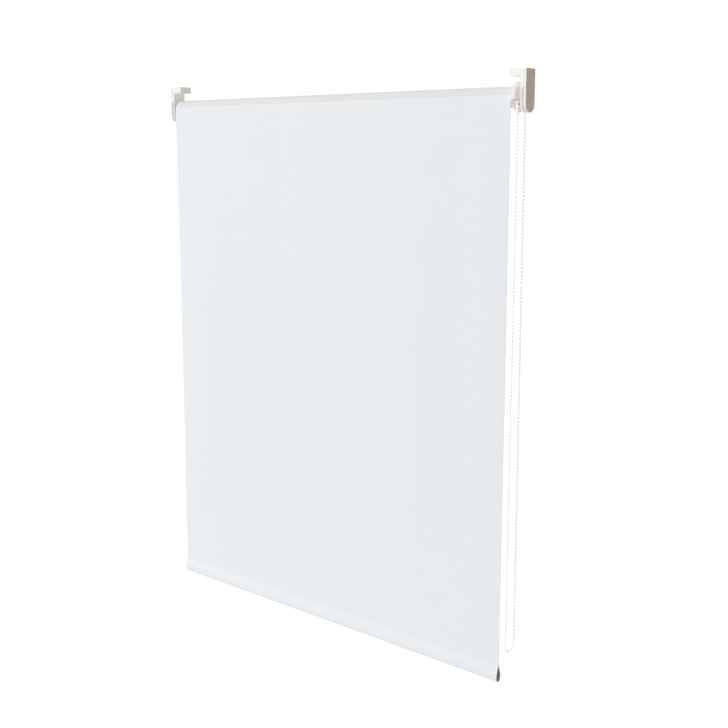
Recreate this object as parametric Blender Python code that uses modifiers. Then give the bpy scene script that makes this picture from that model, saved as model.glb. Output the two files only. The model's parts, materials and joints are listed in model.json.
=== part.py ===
"""A chain-operated roller blind, hung from two ceiling brackets, fully lowered.

Metres, +Z up. X runs along the roller with the chain at +X, -Y faces the room, +Y the window. The origin is
on the mounting plane, midway between the outer faces of the two brackets and above the roller's axis.

Places along the roller are insets: the distance in from the outer face of the nearer bracket.
"""

import math

import bmesh
import bpy
from mathutils import Vector

# ---- Driving sizes ------------------------------------------------------------------------------
OVERALL_WIDTH = 0.814       # outer face to outer face of the two brackets
FABRIC_DROP = 0.965         # roller's axis down to the lower edge of the hem
GAP = 0.0003                # between pieces that touch

# Brackets, the same moulding on both sides: cover, waist and side plate, with a hollow top flange
BRACKET_BELOW_AXIS = 0.0245
BRACKET_DEPTH = 0.027
COVER_THICKNESS = 0.0038    # outer face to the back of the cover's rim
COVER_WALL = 0.0014
COVER_RIM = 0.0018          # width of the cover's rim, seen from its back
WAIST_THICKNESS = 0.0034    # narrow part between the cover and the side plate
WAIST_SETBACK = 0.0060      # how far the waist lies behind the edge of the plate
WAIST_ABOVE_AXIS = 0.0135   # the waist is set back from this height over the axis downwards
PLATE_THICKNESS = 0.0030
FLANGE_LENGTH = 0.0300      # from the bracket's outer face to the end of its top flange
FLANGE_HEIGHT = 0.0115
FLANGE_WALL = 0.0020
FLANGE_TOP = 0.0025
CLIP_DEPTH = 0.0020         # how far the cover's clip ring reaches into the waist
CLIP_WALL = 0.0012
SCREW_HOLE_RADIUS = 0.0023
SCREW_SPACING = 0.0130      # between the two holes in each top flange
BOSS_WALL = 0.0037
BOSS_HEIGHT = 0.0019

# Roller
TUBE_RADIUS = 0.0140
TUBE_WALL = 0.0010
TUBE_KEY_WIDTH = 0.0040     # the tube's inner key, which both plugs straddle
TUBE_KEY_HEIGHT = 0.0010
WOUND_THICKNESS = 0.0012    # of the turns of fabric that stay on the tube
TAPE_THICKNESS = 0.0005
TAPE_HALF_ANGLE = math.radians(18)
TUBE_OVERHANG = 0.0020      # how far the tube stands out past the fabric at each end

# Chain drive
CHAIN_PITCH = 0.0060        # bead to bead
POCKETS = 12
BEAD_RADIUS = 0.00225
CHAIN_RADIUS = 0.0016       # a plain tube that holds as much plastic as the beads and their thread
WHEEL_HALF_WIDTH = 0.0034
WHEEL_RIM = 0.0015          # how far the wheel stands out past the bead centres
CORE_RADIUS = 0.0055
CORE_LUG = 0.0078           # square lug in the side plate's square hole
CORE_NECK_DEPTH = 0.0013
CORE_HEAD = 0.0014          # length of the core past its neck
SPRING_WIRE_RADIUS = 0.00045
SPRING_TURNS = 5
SPRING_LENGTH = 0.0070
SPRING_START = 0.0050       # from the crown's flange to the first spring
SPRING_SPACE = 0.0030       # between the two springs
SPRING_CLEARANCE = 0.0006   # between the springs and the wheel's sleeve
SLEEVE_WALL = 0.0009
SLEEVE_OVERRUN = 0.0035     # length of the wheel's sleeve past the second spring
TANG_DROP = 0.0043          # the wheel's sleeve keeps only what lies higher than this above the axis
CROWN_OVERRUN = 0.0030      # length of the crown past the wheel's sleeve
PLUG_FLANGE = 0.0016
PLUG_RIB_HEIGHT = 0.0017
PLUG_RIBS = 8
GUARD_RADIUS = 0.0240
GUARD_CLEARANCE = 0.0070    # between the guard and the top flange
GUARD_WALL = 0.0015
GUARD_NOSE_RADIUS = 0.0155
GUARD_BAND = 0.0022         # straight part of the hood next to the guard plate
GUARD_MOUTH_DROP = 0.0040   # the hood is open below this depth under the axis
CLIP_RING_WIDTH = 0.0014
CLIP_RING_LIP = 0.0009      # how far a clip stands out past the bore that it closes
CLIP_RING_MOUTH = 0.0050
CLIP_ROOM = 0.0006          # beside the core's clip, on each side

# Idle end
PIN_RADIUS = 0.0030
PIN_TIP_SETBACK = 0.0007    # pin's tip behind the outer face of the waist
PIN_CLEARANCE = 0.0002      # the retracted tip clears the boss by this
PIN_END_CLEARANCE = 0.0005
PIN_COLLAR_WIDTH = 0.0015
IDLE_CORE_STANDOUT = 0.0011 # how far the fixed core stands out past the plug's flange
IDLE_CORE_LENGTH = 0.0333
IDLE_CORE_ROOM = 0.0016     # width of the ring-shaped room round the pin, for its spring
IDLE_CORE_SIDE = 0.0019
IDLE_CORE_WALL = 0.0020
IDLE_NECK_DEPTH = 0.0010
IDLE_NECK_WIDTH = 0.0020
IDLE_PLUG_SETBACK = 0.0005  # from the end of the plug to the core's neck
IDLE_CAP_DEPTH = 0.0052
IDLE_CAP_HEAD = 0.0015
PIN_SPRING_WIRE_RADIUS = 0.00035
PIN_SPRING_TURNS = 6

# Fabric, hem and bottom bar
SHEET_THICKNESS = 0.0005
HEM_HEIGHT = 0.0280
HEM_HALF_DEPTH = 0.0060
BAR_WALL = 0.0012
BAR_CAP_THICKNESS = 0.0015
BAR_CAP_INSERT = 0.0080

# Loop of the bead chain: (how far down from the roller's axis, half the width of the loop there). The widths
# are those of the two hanging strands, front and back, from the wheel down to the turn at the bottom.
LOOP_STATIONS = [
    (0.060, 0.01165),
    (0.180, 0.01190),
    (0.320, 0.01230),
    (0.460, 0.01275),
    (0.600, 0.01320),
    (0.730, 0.01360),
    (0.840, 0.01385),
    (0.885, 0.01380),
    (0.9010, 0.01345),
    (0.9088, 0.01010),
    (0.9122, 0.00520),
]
LOOP_BOTTOM = 0.9130
CHAIN_POINT_SPACING = 0.045
CHAIN_POINTS_A_SPAN = 3

# ---- What follows from the driving sizes --------------------------------------------------------
HALF_WIDTH = OVERALL_WIDTH / 2
AXIS_DROP = FLANGE_HEIGHT + GUARD_CLEARANCE + GUARD_RADIUS
AXIS_Z = -AXIS_DROP
BRACKET_HEIGHT = AXIS_DROP + BRACKET_BELOW_AXIS
WAIST_TOP = AXIS_DROP - WAIST_ABOVE_AXIS
CHAIN_SIDE = 1
IDLE_SIDE = -1
WAIST_INSET = COVER_THICKNESS + GAP
PLATE_INSET = WAIST_INSET + WAIST_THICKNESS
PLATE_INNER = PLATE_INSET + PLATE_THICKNESS
BOSS_RADIUS = PIN_RADIUS + GAP + BOSS_WALL
WHEEL_PITCH_RADIUS = CHAIN_PITCH / (2 * math.sin(math.pi / POCKETS))
GUARD_OUTER = PLATE_INNER + GAP
CHAIN_INSET = GUARD_OUTER + GUARD_WALL + GAP + WHEEL_HALF_WIDTH
WHEEL_OUTER = CHAIN_INSET - WHEEL_HALF_WIDTH
WHEEL_INNER = CHAIN_INSET + WHEEL_HALF_WIDTH
GUARD_PLATE_OUTER = WHEEL_INNER + GAP
GUARD_PLATE_INNER = GUARD_PLATE_OUTER + GUARD_WALL
CROWN_FLANGE = GUARD_PLATE_INNER + GAP
TUBE_INSET_CHAIN = CROWN_FLANGE + PLUG_FLANGE + GAP
FABRIC_INSET_CHAIN = TUBE_INSET_CHAIN + TUBE_OVERHANG
SPRING_INSETS = (
    CROWN_FLANGE + SPRING_START,
    CROWN_FLANGE + SPRING_START + SPRING_LENGTH + SPRING_SPACE,
)
SLEEVE_INNER_RADIUS = CORE_RADIUS + GAP + 2 * SPRING_WIRE_RADIUS + SPRING_CLEARANCE
SLEEVE_RADIUS = SLEEVE_INNER_RADIUS + SLEEVE_WALL
SLEEVE_END_INSET = SPRING_INSETS[1] + SPRING_LENGTH + SLEEVE_OVERRUN
CROWN_END_INSET = SLEEVE_END_INSET + CROWN_OVERRUN
PLUG_RADIUS = TUBE_RADIUS - TUBE_WALL - GAP
PLUG_BODY_RADIUS = PLUG_RADIUS - PLUG_RIB_HEIGHT
PIN_TIP_INSET = WAIST_INSET + PIN_TIP_SETBACK
PIN_TRAVEL = PLATE_INNER + BOSS_HEIGHT - PIN_TIP_INSET + PIN_CLEARANCE
IDLE_CORE_BORE = PIN_RADIUS + IDLE_CORE_ROOM
IDLE_CORE_RADIUS = IDLE_CORE_BORE + IDLE_CORE_SIDE
IDLE_CORE_INSET = PLATE_INNER + BOSS_HEIGHT + GAP
IDLE_CORE_END = IDLE_CORE_INSET + IDLE_CORE_LENGTH
IDLE_NECK_RADIUS = IDLE_CORE_RADIUS - IDLE_NECK_DEPTH
IDLE_NECK_START = IDLE_CORE_END - IDLE_NECK_WIDTH
IDLE_PLUG_END = IDLE_NECK_START - IDLE_PLUG_SETBACK
PIN_END_INSET = IDLE_CORE_END - IDLE_CAP_DEPTH - PIN_TRAVEL - PIN_END_CLEARANCE
TUBE_INSET_IDLE = IDLE_CORE_INSET + IDLE_CORE_STANDOUT + PLUG_FLANGE + GAP
FABRIC_INSET_IDLE = TUBE_INSET_IDLE + TUBE_OVERHANG
WOUND_INNER = TUBE_RADIUS + GAP
ROLL_RADIUS = WOUND_INNER + WOUND_THICKNESS
SHEET_BACK = -(ROLL_RADIUS + GAP)
SHEET_FRONT = SHEET_BACK - SHEET_THICKNESS
SHEET_Y = (SHEET_BACK + SHEET_FRONT) / 2
HEM_TOP = AXIS_Z - FABRIC_DROP + HEM_HEIGHT
BAR_INSET = SHEET_THICKNESS + GAP
SEGMENTS = 40
SHORTEST_SIDE = 1e-5        # sides shorter than this are left out of an inset outline
OVERLAP = 0.0004            # how far two shapes run into each other where they are joined


def x_at(side, inset):
    """World X of a place that lies inset in from the outer face of one side's bracket."""
    return side * (HALF_WIDTH - inset)


# ---- Scene and helpers --------------------------------------------------------------------------
for leftover in list(bpy.data.objects):
    bpy.data.objects.remove(leftover, do_unlink=True)

blind = bpy.data.collections.new("roller_blind")
cutters = bpy.data.collections.new("cutters")
bpy.context.scene.collection.children.link(blind)
bpy.context.scene.collection.children.link(cutters)


def material(name, colour, roughness, metallic=0.0):
    made = bpy.data.materials.new(name)
    made.use_nodes = True
    shader = made.node_tree.nodes["Principled BSDF"]
    shader.inputs["Base Color"].default_value = (*colour, 1.0)
    shader.inputs["Roughness"].default_value = roughness
    shader.inputs["Metallic"].default_value = metallic
    made.diffuse_color = (*colour, 1.0)
    return made


WHITE_PLASTIC = material("white_plastic", (0.82, 0.81, 0.78), 0.38)
GREY_PLASTIC = material("grey_plastic", (0.24, 0.22, 0.21), 0.5)
BEAD_PLASTIC = material("bead_plastic", (0.86, 0.86, 0.84), 0.3)
NYLON = material("natural_nylon", (0.70, 0.68, 0.60), 0.45)
FABRIC = material("blackout_fabric", (0.80, 0.82, 0.84), 0.85)
ALUMINIUM = material("mill_aluminium", (0.77, 0.78, 0.79), 0.35, 1.0)
SPRING_STEEL = material("spring_steel", (0.55, 0.56, 0.58), 0.3, 1.0)
ADHESIVE = material("adhesive_tape", (0.75, 0.73, 0.66), 0.7)


def add(name, data, surface=None):
    """Puts a mesh or curve in the blind as a named part, or among the cutters if it has no material."""
    made = bpy.data.objects.new(name, data)
    if surface:
        data.materials.append(surface)
        blind.objects.link(made)
    else:
        cutters.objects.link(made)
        made.display_type = "WIRE"
        made.hide_render = True
    return made


def arc(radius, start, end, steps, centre=(0.0, 0.0)):
    """Points on an arc, both ends included, with the angles in degrees."""
    angles = [math.radians(start + (end - start) * i / steps) for i in range(steps + 1)]
    return [(centre[0] + radius * math.cos(a), centre[1] + radius * math.sin(a)) for a in angles]


def circle(radius, centre=(0.0, 0.0), steps=SEGMENTS):
    return arc(radius, 0, 360, steps, centre)[:-1]


def area(points):
    """Signed area of an outline: positive when it runs anticlockwise."""
    pairs = zip(points, points[1:] + points[:1])
    return sum(a[0] * b[1] - b[0] * a[1] for a, b in pairs) / 2


def meeting(side_a, side_b):
    """Where the lines of two sides cross, each given as a point and a direction."""
    start, along = side_a
    place, across = side_b
    reach = (place - start).cross(across) / along.cross(across)
    return start + along * reach


def inset_outline(points, distance):
    """An anticlockwise convex outline moved inwards by a distance; sides that shrink to nothing are left out."""
    sides = []
    for here, there in zip(points, points[1:] + points[:1]):
        along = (Vector(there) - Vector(here)).normalized()
        sides.append((Vector(here) + Vector((-along.y, along.x)) * distance, along))
    while True:
        corners = [meeting(sides[i - 1], side) for i, side in enumerate(sides)]
        ends = corners[1:] + corners[:1]
        kept = [side for side, a, b in zip(sides, corners, ends) if (b - a).dot(side[1]) > SHORTEST_SIDE]
        if len(kept) == len(sides):
            return [tuple(corner) for corner in corners]
        sides = kept


def extruded(name, outlines, x_from, x_to, surface=None):
    """A flat outline in the YZ plane, with any holes as further outlines, drawn out along X."""
    curve = bpy.data.curves.new(name, "CURVE")
    curve.dimensions = "2D"
    curve.fill_mode = "BOTH"
    curve.extrude = abs(x_to - x_from) / 2
    for outline in outlines:
        spline = curve.splines.new("POLY")
        spline.points.add(len(outline) - 1)
        spline.use_cyclic_u = True
        for point, (y, z) in zip(spline.points, outline):
            point.co = (y, z, 0.0, 1.0)
    drawn = bpy.data.objects.new(name, curve)
    drawn.location = ((x_from + x_to) / 2, 0.0, 0.0)
    drawn.rotation_euler = (math.pi / 2, 0.0, math.pi / 2)
    bpy.context.scene.collection.objects.link(drawn)
    bpy.context.view_layer.update()
    mesh = bpy.data.meshes.new_from_object(drawn.evaluated_get(bpy.context.evaluated_depsgraph_get()))
    placed = drawn.matrix_world.copy()
    bpy.data.objects.remove(drawn, do_unlink=True)
    bpy.data.curves.remove(curve)
    mesh.materials.clear()
    welded = bmesh.new()
    welded.from_mesh(mesh)
    bmesh.ops.remove_doubles(welded, verts=welded.verts, dist=1e-6)
    bmesh.ops.recalc_face_normals(welded, faces=welded.faces)
    welded.to_mesh(mesh)
    welded.free()
    mesh.name = name
    made = add(name, mesh, surface)
    made.matrix_world = placed
    return made


def around_axis(points):
    """An outline drawn about (0, 0) moved to the roller's axis."""
    return [(y, z + AXIS_Z) for y, z in points]


def turned(name, profile, surface=None, steps=SEGMENTS):
    """A shape turned about the roller's axis from a closed profile of (radius, world X) points."""
    if area(profile) > 0:
        profile = profile[::-1]
    on_axis = [i for i, (radius, _) in enumerate(profile) if radius == 0]
    closed = not on_axis
    if on_axis:
        first = next(i for i in on_axis if profile[i - 1][0] == 0)
        profile = profile[first:] + profile[:first]
    mesh = bpy.data.meshes.new(name)
    edges = [(i, i + 1) for i in range(len(profile) - 1)]
    if closed:
        edges.append((len(profile) - 1, 0))
    mesh.from_pydata([(radius, 0.0, height) for radius, height in profile], edges, [])
    made = add(name, mesh, surface)
    made.location = (0.0, 0.0, AXIS_Z)
    made.rotation_euler = (0.0, math.pi / 2, 0.0)
    screw = made.modifiers.new("turn", "SCREW")
    screw.axis = "Z"
    screw.steps = steps
    screw.render_steps = steps
    screw.use_merge_vertices = True
    screw.merge_threshold = 1e-6
    return made


def ring(name, inner, outer, x_a, x_b, surface=None, steps=SEGMENTS):
    """A plain ring or, with no inner radius, a plain disc about the roller's axis."""
    return turned(name, [(outer, x_a), (outer, x_b), (inner, x_b), (inner, x_a)], surface, steps)


def block(name, corner_a, corner_b, surface=None):
    """A box between two opposite corners."""
    mesh = bpy.data.meshes.new(name)
    shape = bmesh.new()
    bmesh.ops.create_cube(shape, size=1.0)
    centre = (Vector(corner_a) + Vector(corner_b)) / 2
    size = [abs(a - b) for a, b in zip(corner_a, corner_b)]
    bmesh.ops.scale(shape, vec=size, verts=shape.verts)
    shape.to_mesh(mesh)
    shape.free()
    made = add(name, mesh, surface)
    made.location = centre
    return made


def drill(name, radius, length, centre, turn=(0.0, 0.0, 0.0), steps=20):
    """A round cutter, upright unless it is turned."""
    mesh = bpy.data.meshes.new(name)
    shape = bmesh.new()
    bmesh.ops.create_cone(shape, cap_ends=True, segments=steps, radius1=radius, radius2=radius, depth=length)
    shape.to_mesh(mesh)
    shape.free()
    made = add(name, mesh)
    made.location = centre
    made.rotation_euler = turn
    return made


def boolean(part, tool, operation):
    step = part.modifiers.new(tool.name, "BOOLEAN")
    step.operation = operation
    step.solver = "EXACT"
    step.object = tool


def cut(part, *tools):
    for tool in tools:
        boolean(part, tool, "DIFFERENCE")


def join(part, *tools):
    for tool in tools:
        boolean(part, tool, "UNION")


def pivot(name, place, axis_words):
    """An empty on a joint's axis, which the pieces of one moving body hang from."""
    made = bpy.data.objects.new(name, None)
    blind.objects.link(made)
    made.location = place
    made.empty_display_size = 0.02
    made["axis"] = axis_words
    return made


def hang_from(parent, parts):
    """Parents parts to an empty without moving them."""
    bpy.context.view_layer.update()
    for part in parts:
        part.parent = parent
        part.matrix_parent_inverse = parent.matrix_world.inverted()


def coil(name, radius, wire_radius, turns, x_from, x_to, surface, points_a_turn=12):
    """A helical spring about the roller's axis, whose straight spans keep to the radius."""
    curve = bpy.data.curves.new(name, "CURVE")
    curve.dimensions = "3D"
    curve.bevel_depth = wire_radius
    curve.bevel_resolution = 2
    curve.use_fill_caps = True
    spline = curve.splines.new("POLY")
    count = turns * points_a_turn
    reach = radius / math.cos(math.pi / points_a_turn)
    spline.points.add(count)
    for i, point in enumerate(spline.points):
        angle = 2 * math.pi * i / points_a_turn
        along = x_from + (x_to - x_from) * i / count
        point.co = (along, reach * math.cos(angle), AXIS_Z + reach * math.sin(angle), 1.0)
    return add(name, curve, surface)


# ---- Brackets and covers ------------------------------------------------------------------------
def bracket_outline(depth, height):
    """Upright outline with a half-round lower end, its top edge on the mounting plane."""
    half = depth / 2
    lower = arc(half, 180, 360, 20, (0.0, -(height - half)))
    return lower + [(half, 0.0), (-half, 0.0)]


def top_flange_cutters(tag, side):
    """The hollow under the top flange and its two screw holes."""
    near = PLATE_INNER + FLANGE_WALL
    far = FLANGE_LENGTH - FLANGE_WALL
    half = BRACKET_DEPTH / 2 - FLANGE_WALL
    hollow = block(
        f"{tag}_flange_hollow",
        (x_at(side, near), -half, -FLANGE_TOP),
        (x_at(side, far), half, -2 * FLANGE_HEIGHT),
    )
    middle = x_at(side, (near + far) / 2)
    holes = [
        drill(f"{tag}_screw_hole_{i}", SCREW_HOLE_RADIUS, 4 * FLANGE_TOP, (middle, y, 0.0))
        for i, y in enumerate((-SCREW_SPACING / 2, SCREW_SPACING / 2))
    ]
    return [hollow, *holes]


def bracket(name, side):
    """Side plate with its set-back waist and the hollow top flange, as one moulding."""
    outline = bracket_outline(BRACKET_DEPTH, BRACKET_HEIGHT)
    half = BRACKET_DEPTH / 2
    made = extruded(name, [outline], x_at(side, WAIST_INSET), x_at(side, PLATE_INNER), WHITE_PLASTIC)
    flange = block(
        f"{name}_flange",
        (x_at(side, PLATE_INNER - OVERLAP), -half, 0.0),
        (x_at(side, FLANGE_LENGTH), half, -FLANGE_HEIGHT),
    )
    waist = inset_outline(outline, WAIST_SETBACK)
    groove = extruded(
        f"{name}_groove",
        [inset_outline(outline, -WAIST_SETBACK), waist],
        x_at(side, WAIST_INSET - WAIST_THICKNESS),
        x_at(side, PLATE_INSET),
    )
    groove_limit = block(
        f"{name}_groove_limit",
        (x_at(side, 0.0), -BRACKET_DEPTH, -WAIST_TOP),
        (x_at(side, FLANGE_LENGTH), BRACKET_DEPTH, BRACKET_HEIGHT),
    )
    cut(groove, groove_limit)
    recess = extruded(
        f"{name}_clip_recess",
        [inset_outline(outline, WAIST_SETBACK + CLIP_WALL)],
        x_at(side, 0.0),
        x_at(side, WAIST_INSET + CLIP_DEPTH + GAP),
    )
    join(made, flange)
    cut(made, groove, recess, *top_flange_cutters(name, side))
    return made


def cover(name, side):
    """Snap-on side cover: a shallow tray whose clip ring reaches into the bracket's waist."""
    outline = bracket_outline(BRACKET_DEPTH, BRACKET_HEIGHT)
    made = extruded(name, [outline], x_at(side, 0.0), x_at(side, COVER_THICKNESS), WHITE_PLASTIC)
    hollow = extruded(
        f"{name}_hollow",
        [inset_outline(outline, COVER_RIM)],
        x_at(side, COVER_WALL),
        x_at(side, 2 * COVER_THICKNESS),
    )
    ring_outer = inset_outline(outline, WAIST_SETBACK + CLIP_WALL + GAP)
    clips = extruded(
        f"{name}_clips",
        [ring_outer, inset_outline(ring_outer, CLIP_WALL)],
        x_at(side, COVER_WALL - OVERLAP),
        x_at(side, WAIST_INSET + CLIP_DEPTH),
    )
    cut(made, hollow)
    join(made, clips)
    return made


bracket_right = bracket("bracket_right", CHAIN_SIDE)
bracket_left = bracket("bracket_left", IDLE_SIDE)
cover_right = cover("bracket_cover_right", CHAIN_SIDE)
cover_left = cover("bracket_cover_left", IDLE_SIDE)

lug_hole_half = CORE_LUG / 2 + GAP
cut(
    bracket_right,
    block(
        "lug_hole",
        (x_at(CHAIN_SIDE, 0.0), -lug_hole_half, AXIS_Z - lug_hole_half),
        (x_at(CHAIN_SIDE, 2 * PLATE_INNER), lug_hole_half, AXIS_Z + lug_hole_half),
    ),
)
boss = ring(
    "bearing_boss",
    0.0,
    BOSS_RADIUS,
    x_at(IDLE_SIDE, PLATE_INNER - OVERLAP),
    x_at(IDLE_SIDE, PLATE_INNER + BOSS_HEIGHT),
)
join(bracket_left, boss)
cut(
    bracket_left,
    drill(
        "pin_hole",
        PIN_RADIUS + GAP,
        3 * PLATE_INNER,
        (x_at(IDLE_SIDE, PLATE_INNER), 0.0, AXIS_Z),
        (0.0, math.pi / 2, 0.0),
        SEGMENTS,
    ),
)


# ---- Chain drive, fixed pieces ------------------------------------------------------------------
def at_chain_end(profile):
    """A profile of (radius, inset) points at the chain end, as (radius, world X) points."""
    return [(radius, x_at(CHAIN_SIDE, inset)) for radius, inset in profile]


def at_idle_end(profile):
    return [(radius, x_at(IDLE_SIDE, inset)) for radius, inset in profile]


core_neck_radius = CORE_RADIUS - CORE_NECK_DEPTH
neck_start = CROWN_END_INSET + CLIP_ROOM
neck_end = neck_start + CLIP_RING_WIDTH + 2 * CLIP_ROOM
core_end = neck_end + CORE_HEAD
clutch_core = turned(
    "clutch_core",
    at_chain_end(
        [
            (0.0, GUARD_OUTER),
            (CORE_RADIUS, GUARD_OUTER),
            (CORE_RADIUS, neck_start),
            (core_neck_radius, neck_start),
            (core_neck_radius, neck_end),
            (CORE_RADIUS, neck_end),
            (CORE_RADIUS, core_end),
            (0.0, core_end),
        ]
    ),
    NYLON,
)
join(
    clutch_core,
    block(
        "core_lug",
        (x_at(CHAIN_SIDE, WAIST_INSET + CLIP_DEPTH + GAP), -CORE_LUG / 2, AXIS_Z - CORE_LUG / 2),
        (x_at(CHAIN_SIDE, GUARD_OUTER + OVERLAP), CORE_LUG / 2, AXIS_Z + CORE_LUG / 2),
    ),
)

for i, start in enumerate(SPRING_INSETS, 1):
    coil(
        f"wrap_spring_{i}",
        CORE_RADIUS + GAP + SPRING_WIRE_RADIUS,
        SPRING_WIRE_RADIUS,
        SPRING_TURNS,
        x_at(CHAIN_SIDE, start),
        x_at(CHAIN_SIDE, start + SPRING_LENGTH),
        SPRING_STEEL,
    )


def guard_section(shrink):
    """Outer or inner side of the hood's section: a straight band, then a quarter of an ellipse to its nose."""
    band_end = GUARD_PLATE_OUTER - GAP - GUARD_BAND
    nose = GUARD_OUTER + shrink
    bulge = GUARD_RADIUS - GUARD_NOSE_RADIUS
    quarter = [
        (
            GUARD_NOSE_RADIUS - shrink + bulge * math.sin(math.radians(angle)),
            band_end - (band_end - nose) * math.cos(math.radians(angle)),
        )
        for angle in range(0, 91, 15)
    ]
    return quarter + [(GUARD_RADIUS - shrink, GUARD_PLATE_OUTER - GAP)]


core_hole = CORE_RADIUS + GAP
chain_guard = turned(
    "chain_guard",
    at_chain_end(
        [(core_hole, GUARD_OUTER)]
        + guard_section(0.0)
        + guard_section(GUARD_WALL)[::-1]
        + [(core_hole, GUARD_OUTER + GUARD_WALL)]
    ),
    WHITE_PLASTIC,
)
cut(
    chain_guard,
    block(
        "guard_mouth",
        (x_at(CHAIN_SIDE, 0.0), -2 * GUARD_RADIUS, AXIS_Z - GUARD_MOUTH_DROP),
        (x_at(CHAIN_SIDE, 2 * GUARD_PLATE_INNER), 2 * GUARD_RADIUS, AXIS_Z - 2 * GUARD_RADIUS),
    ),
)
ring(
    "guard_plate",
    SLEEVE_RADIUS + 2 * GAP,
    GUARD_RADIUS,
    x_at(CHAIN_SIDE, GUARD_PLATE_OUTER),
    x_at(CHAIN_SIDE, GUARD_PLATE_INNER),
    WHITE_PLASTIC,
)


def clip_ring(name, bore, radius, side, inset):
    """A flat C-shaped clip that springs into a neck."""
    made = ring(
        name, bore, radius, x_at(side, inset), x_at(side, inset + CLIP_RING_WIDTH), SPRING_STEEL, 32
    )
    mouth = block(
        f"{name}_mouth",
        (x_at(side, inset - CLIP_RING_WIDTH), -CLIP_RING_MOUTH / 2, AXIS_Z - 2 * radius),
        (x_at(side, inset + 2 * CLIP_RING_WIDTH), CLIP_RING_MOUTH / 2, AXIS_Z),
    )
    cut(made, mouth)
    return made


clip_ring(
    "core_clip",
    core_neck_radius + GAP,
    SLEEVE_INNER_RADIUS + CLIP_RING_LIP,
    CHAIN_SIDE,
    neck_start + CLIP_ROOM,
)

# ---- Chain wheel --------------------------------------------------------------------------------
slot_half = CHAIN_RADIUS + GAP
slot_floor = WHEEL_PITCH_RADIUS - slot_half
wheel_radius = WHEEL_PITCH_RADIUS + WHEEL_RIM
chain_wheel = turned(
    "chain_wheel",
    at_chain_end(
        [
            (core_hole, WHEEL_OUTER),
            (wheel_radius, WHEEL_OUTER),
            (wheel_radius, CHAIN_INSET - slot_half),
            (slot_floor, CHAIN_INSET - slot_half),
            (slot_floor, CHAIN_INSET + slot_half),
            (wheel_radius, CHAIN_INSET + slot_half),
            (wheel_radius, WHEEL_INNER),
            (SLEEVE_RADIUS, WHEEL_INNER),
            (SLEEVE_RADIUS, SLEEVE_END_INSET),
            (SLEEVE_INNER_RADIUS, SLEEVE_END_INSET),
            (SLEEVE_INNER_RADIUS, WHEEL_INNER - SLEEVE_WALL),
            (core_hole, WHEEL_INNER - SLEEVE_WALL),
        ]
    ),
    NYLON,
)


def pocket_cutter():
    """One ball for each pocket, a little larger than a bead, on the wheel's pitch circle."""
    mesh = bpy.data.meshes.new("bead_pockets")
    shape = bmesh.new()
    for k in range(POCKETS):
        angle = 2 * math.pi * (k + 0.5) / POCKETS
        ball = bmesh.ops.create_uvsphere(shape, u_segments=10, v_segments=6, radius=BEAD_RADIUS + GAP)
        place = Vector((0.0, math.cos(angle), math.sin(angle))) * WHEEL_PITCH_RADIUS
        bmesh.ops.translate(shape, vec=place, verts=ball["verts"])
    shape.to_mesh(mesh)
    shape.free()
    made = add("bead_pockets", mesh)
    made.location = (x_at(CHAIN_SIDE, CHAIN_INSET), 0.0, AXIS_Z)
    return made


tang_limit = block(
    "tang_limit",
    (x_at(CHAIN_SIDE, GUARD_PLATE_INNER + GAP), -2 * SLEEVE_RADIUS, AXIS_Z - 2 * SLEEVE_RADIUS),
    (x_at(CHAIN_SIDE, 2 * SLEEVE_END_INSET), 2 * SLEEVE_RADIUS, AXIS_Z + TANG_DROP),
)
cut(chain_wheel, pocket_cutter(), tang_limit)


# ---- Plugs, tube and the fabric on it -----------------------------------------------------------
def ribbed_outline(body, tip, ribs):
    """Round section with square ribs; the first rib place is left free for the tube's key."""
    half = math.degrees(TUBE_KEY_WIDTH / 2 / tip)
    points = []
    for k in range(ribs):
        middle = 90 + 360 * k / ribs
        if k:
            points += arc(tip, middle - half, middle + half, 2)
        points += arc(body, middle + 2 * half, middle + 360 / ribs - 2 * half, 3)
    return points


def keyed_bore(radius, key_radius):
    """Round hole whose lower part is narrowed by a drive key, opposite the wheel's tang."""
    return arc(radius, -30, 210, 24) + arc(key_radius, 215, 325, 10)


crown_flange = ring(
    "crown_flange",
    SLEEVE_RADIUS + GAP,
    TUBE_RADIUS,
    x_at(CHAIN_SIDE, CROWN_FLANGE),
    x_at(CHAIN_SIDE, CROWN_FLANGE + PLUG_FLANGE),
)
drive_crown = extruded(
    "drive_crown",
    [
        around_axis(ribbed_outline(PLUG_BODY_RADIUS, PLUG_RADIUS, PLUG_RIBS)),
        around_axis(keyed_bore(SLEEVE_RADIUS + GAP, SLEEVE_INNER_RADIUS)),
    ],
    x_at(CHAIN_SIDE, CROWN_FLANGE + PLUG_FLANGE - OVERLAP),
    x_at(CHAIN_SIDE, CROWN_END_INSET),
    GREY_PLASTIC,
)
join(drive_crown, crown_flange)

idle_flange = ring(
    "idle_flange",
    IDLE_CORE_RADIUS + GAP,
    TUBE_RADIUS,
    x_at(IDLE_SIDE, TUBE_INSET_IDLE - GAP - PLUG_FLANGE),
    x_at(IDLE_SIDE, TUBE_INSET_IDLE - GAP),
)
idle_plug = extruded(
    "idle_plug",
    [
        around_axis(ribbed_outline(PLUG_BODY_RADIUS, PLUG_RADIUS, PLUG_RIBS)),
        around_axis(circle(IDLE_CORE_RADIUS + GAP)),
    ],
    x_at(IDLE_SIDE, TUBE_INSET_IDLE - GAP - OVERLAP),
    x_at(IDLE_SIDE, IDLE_PLUG_END),
    GREY_PLASTIC,
)
join(idle_plug, idle_flange)

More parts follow.
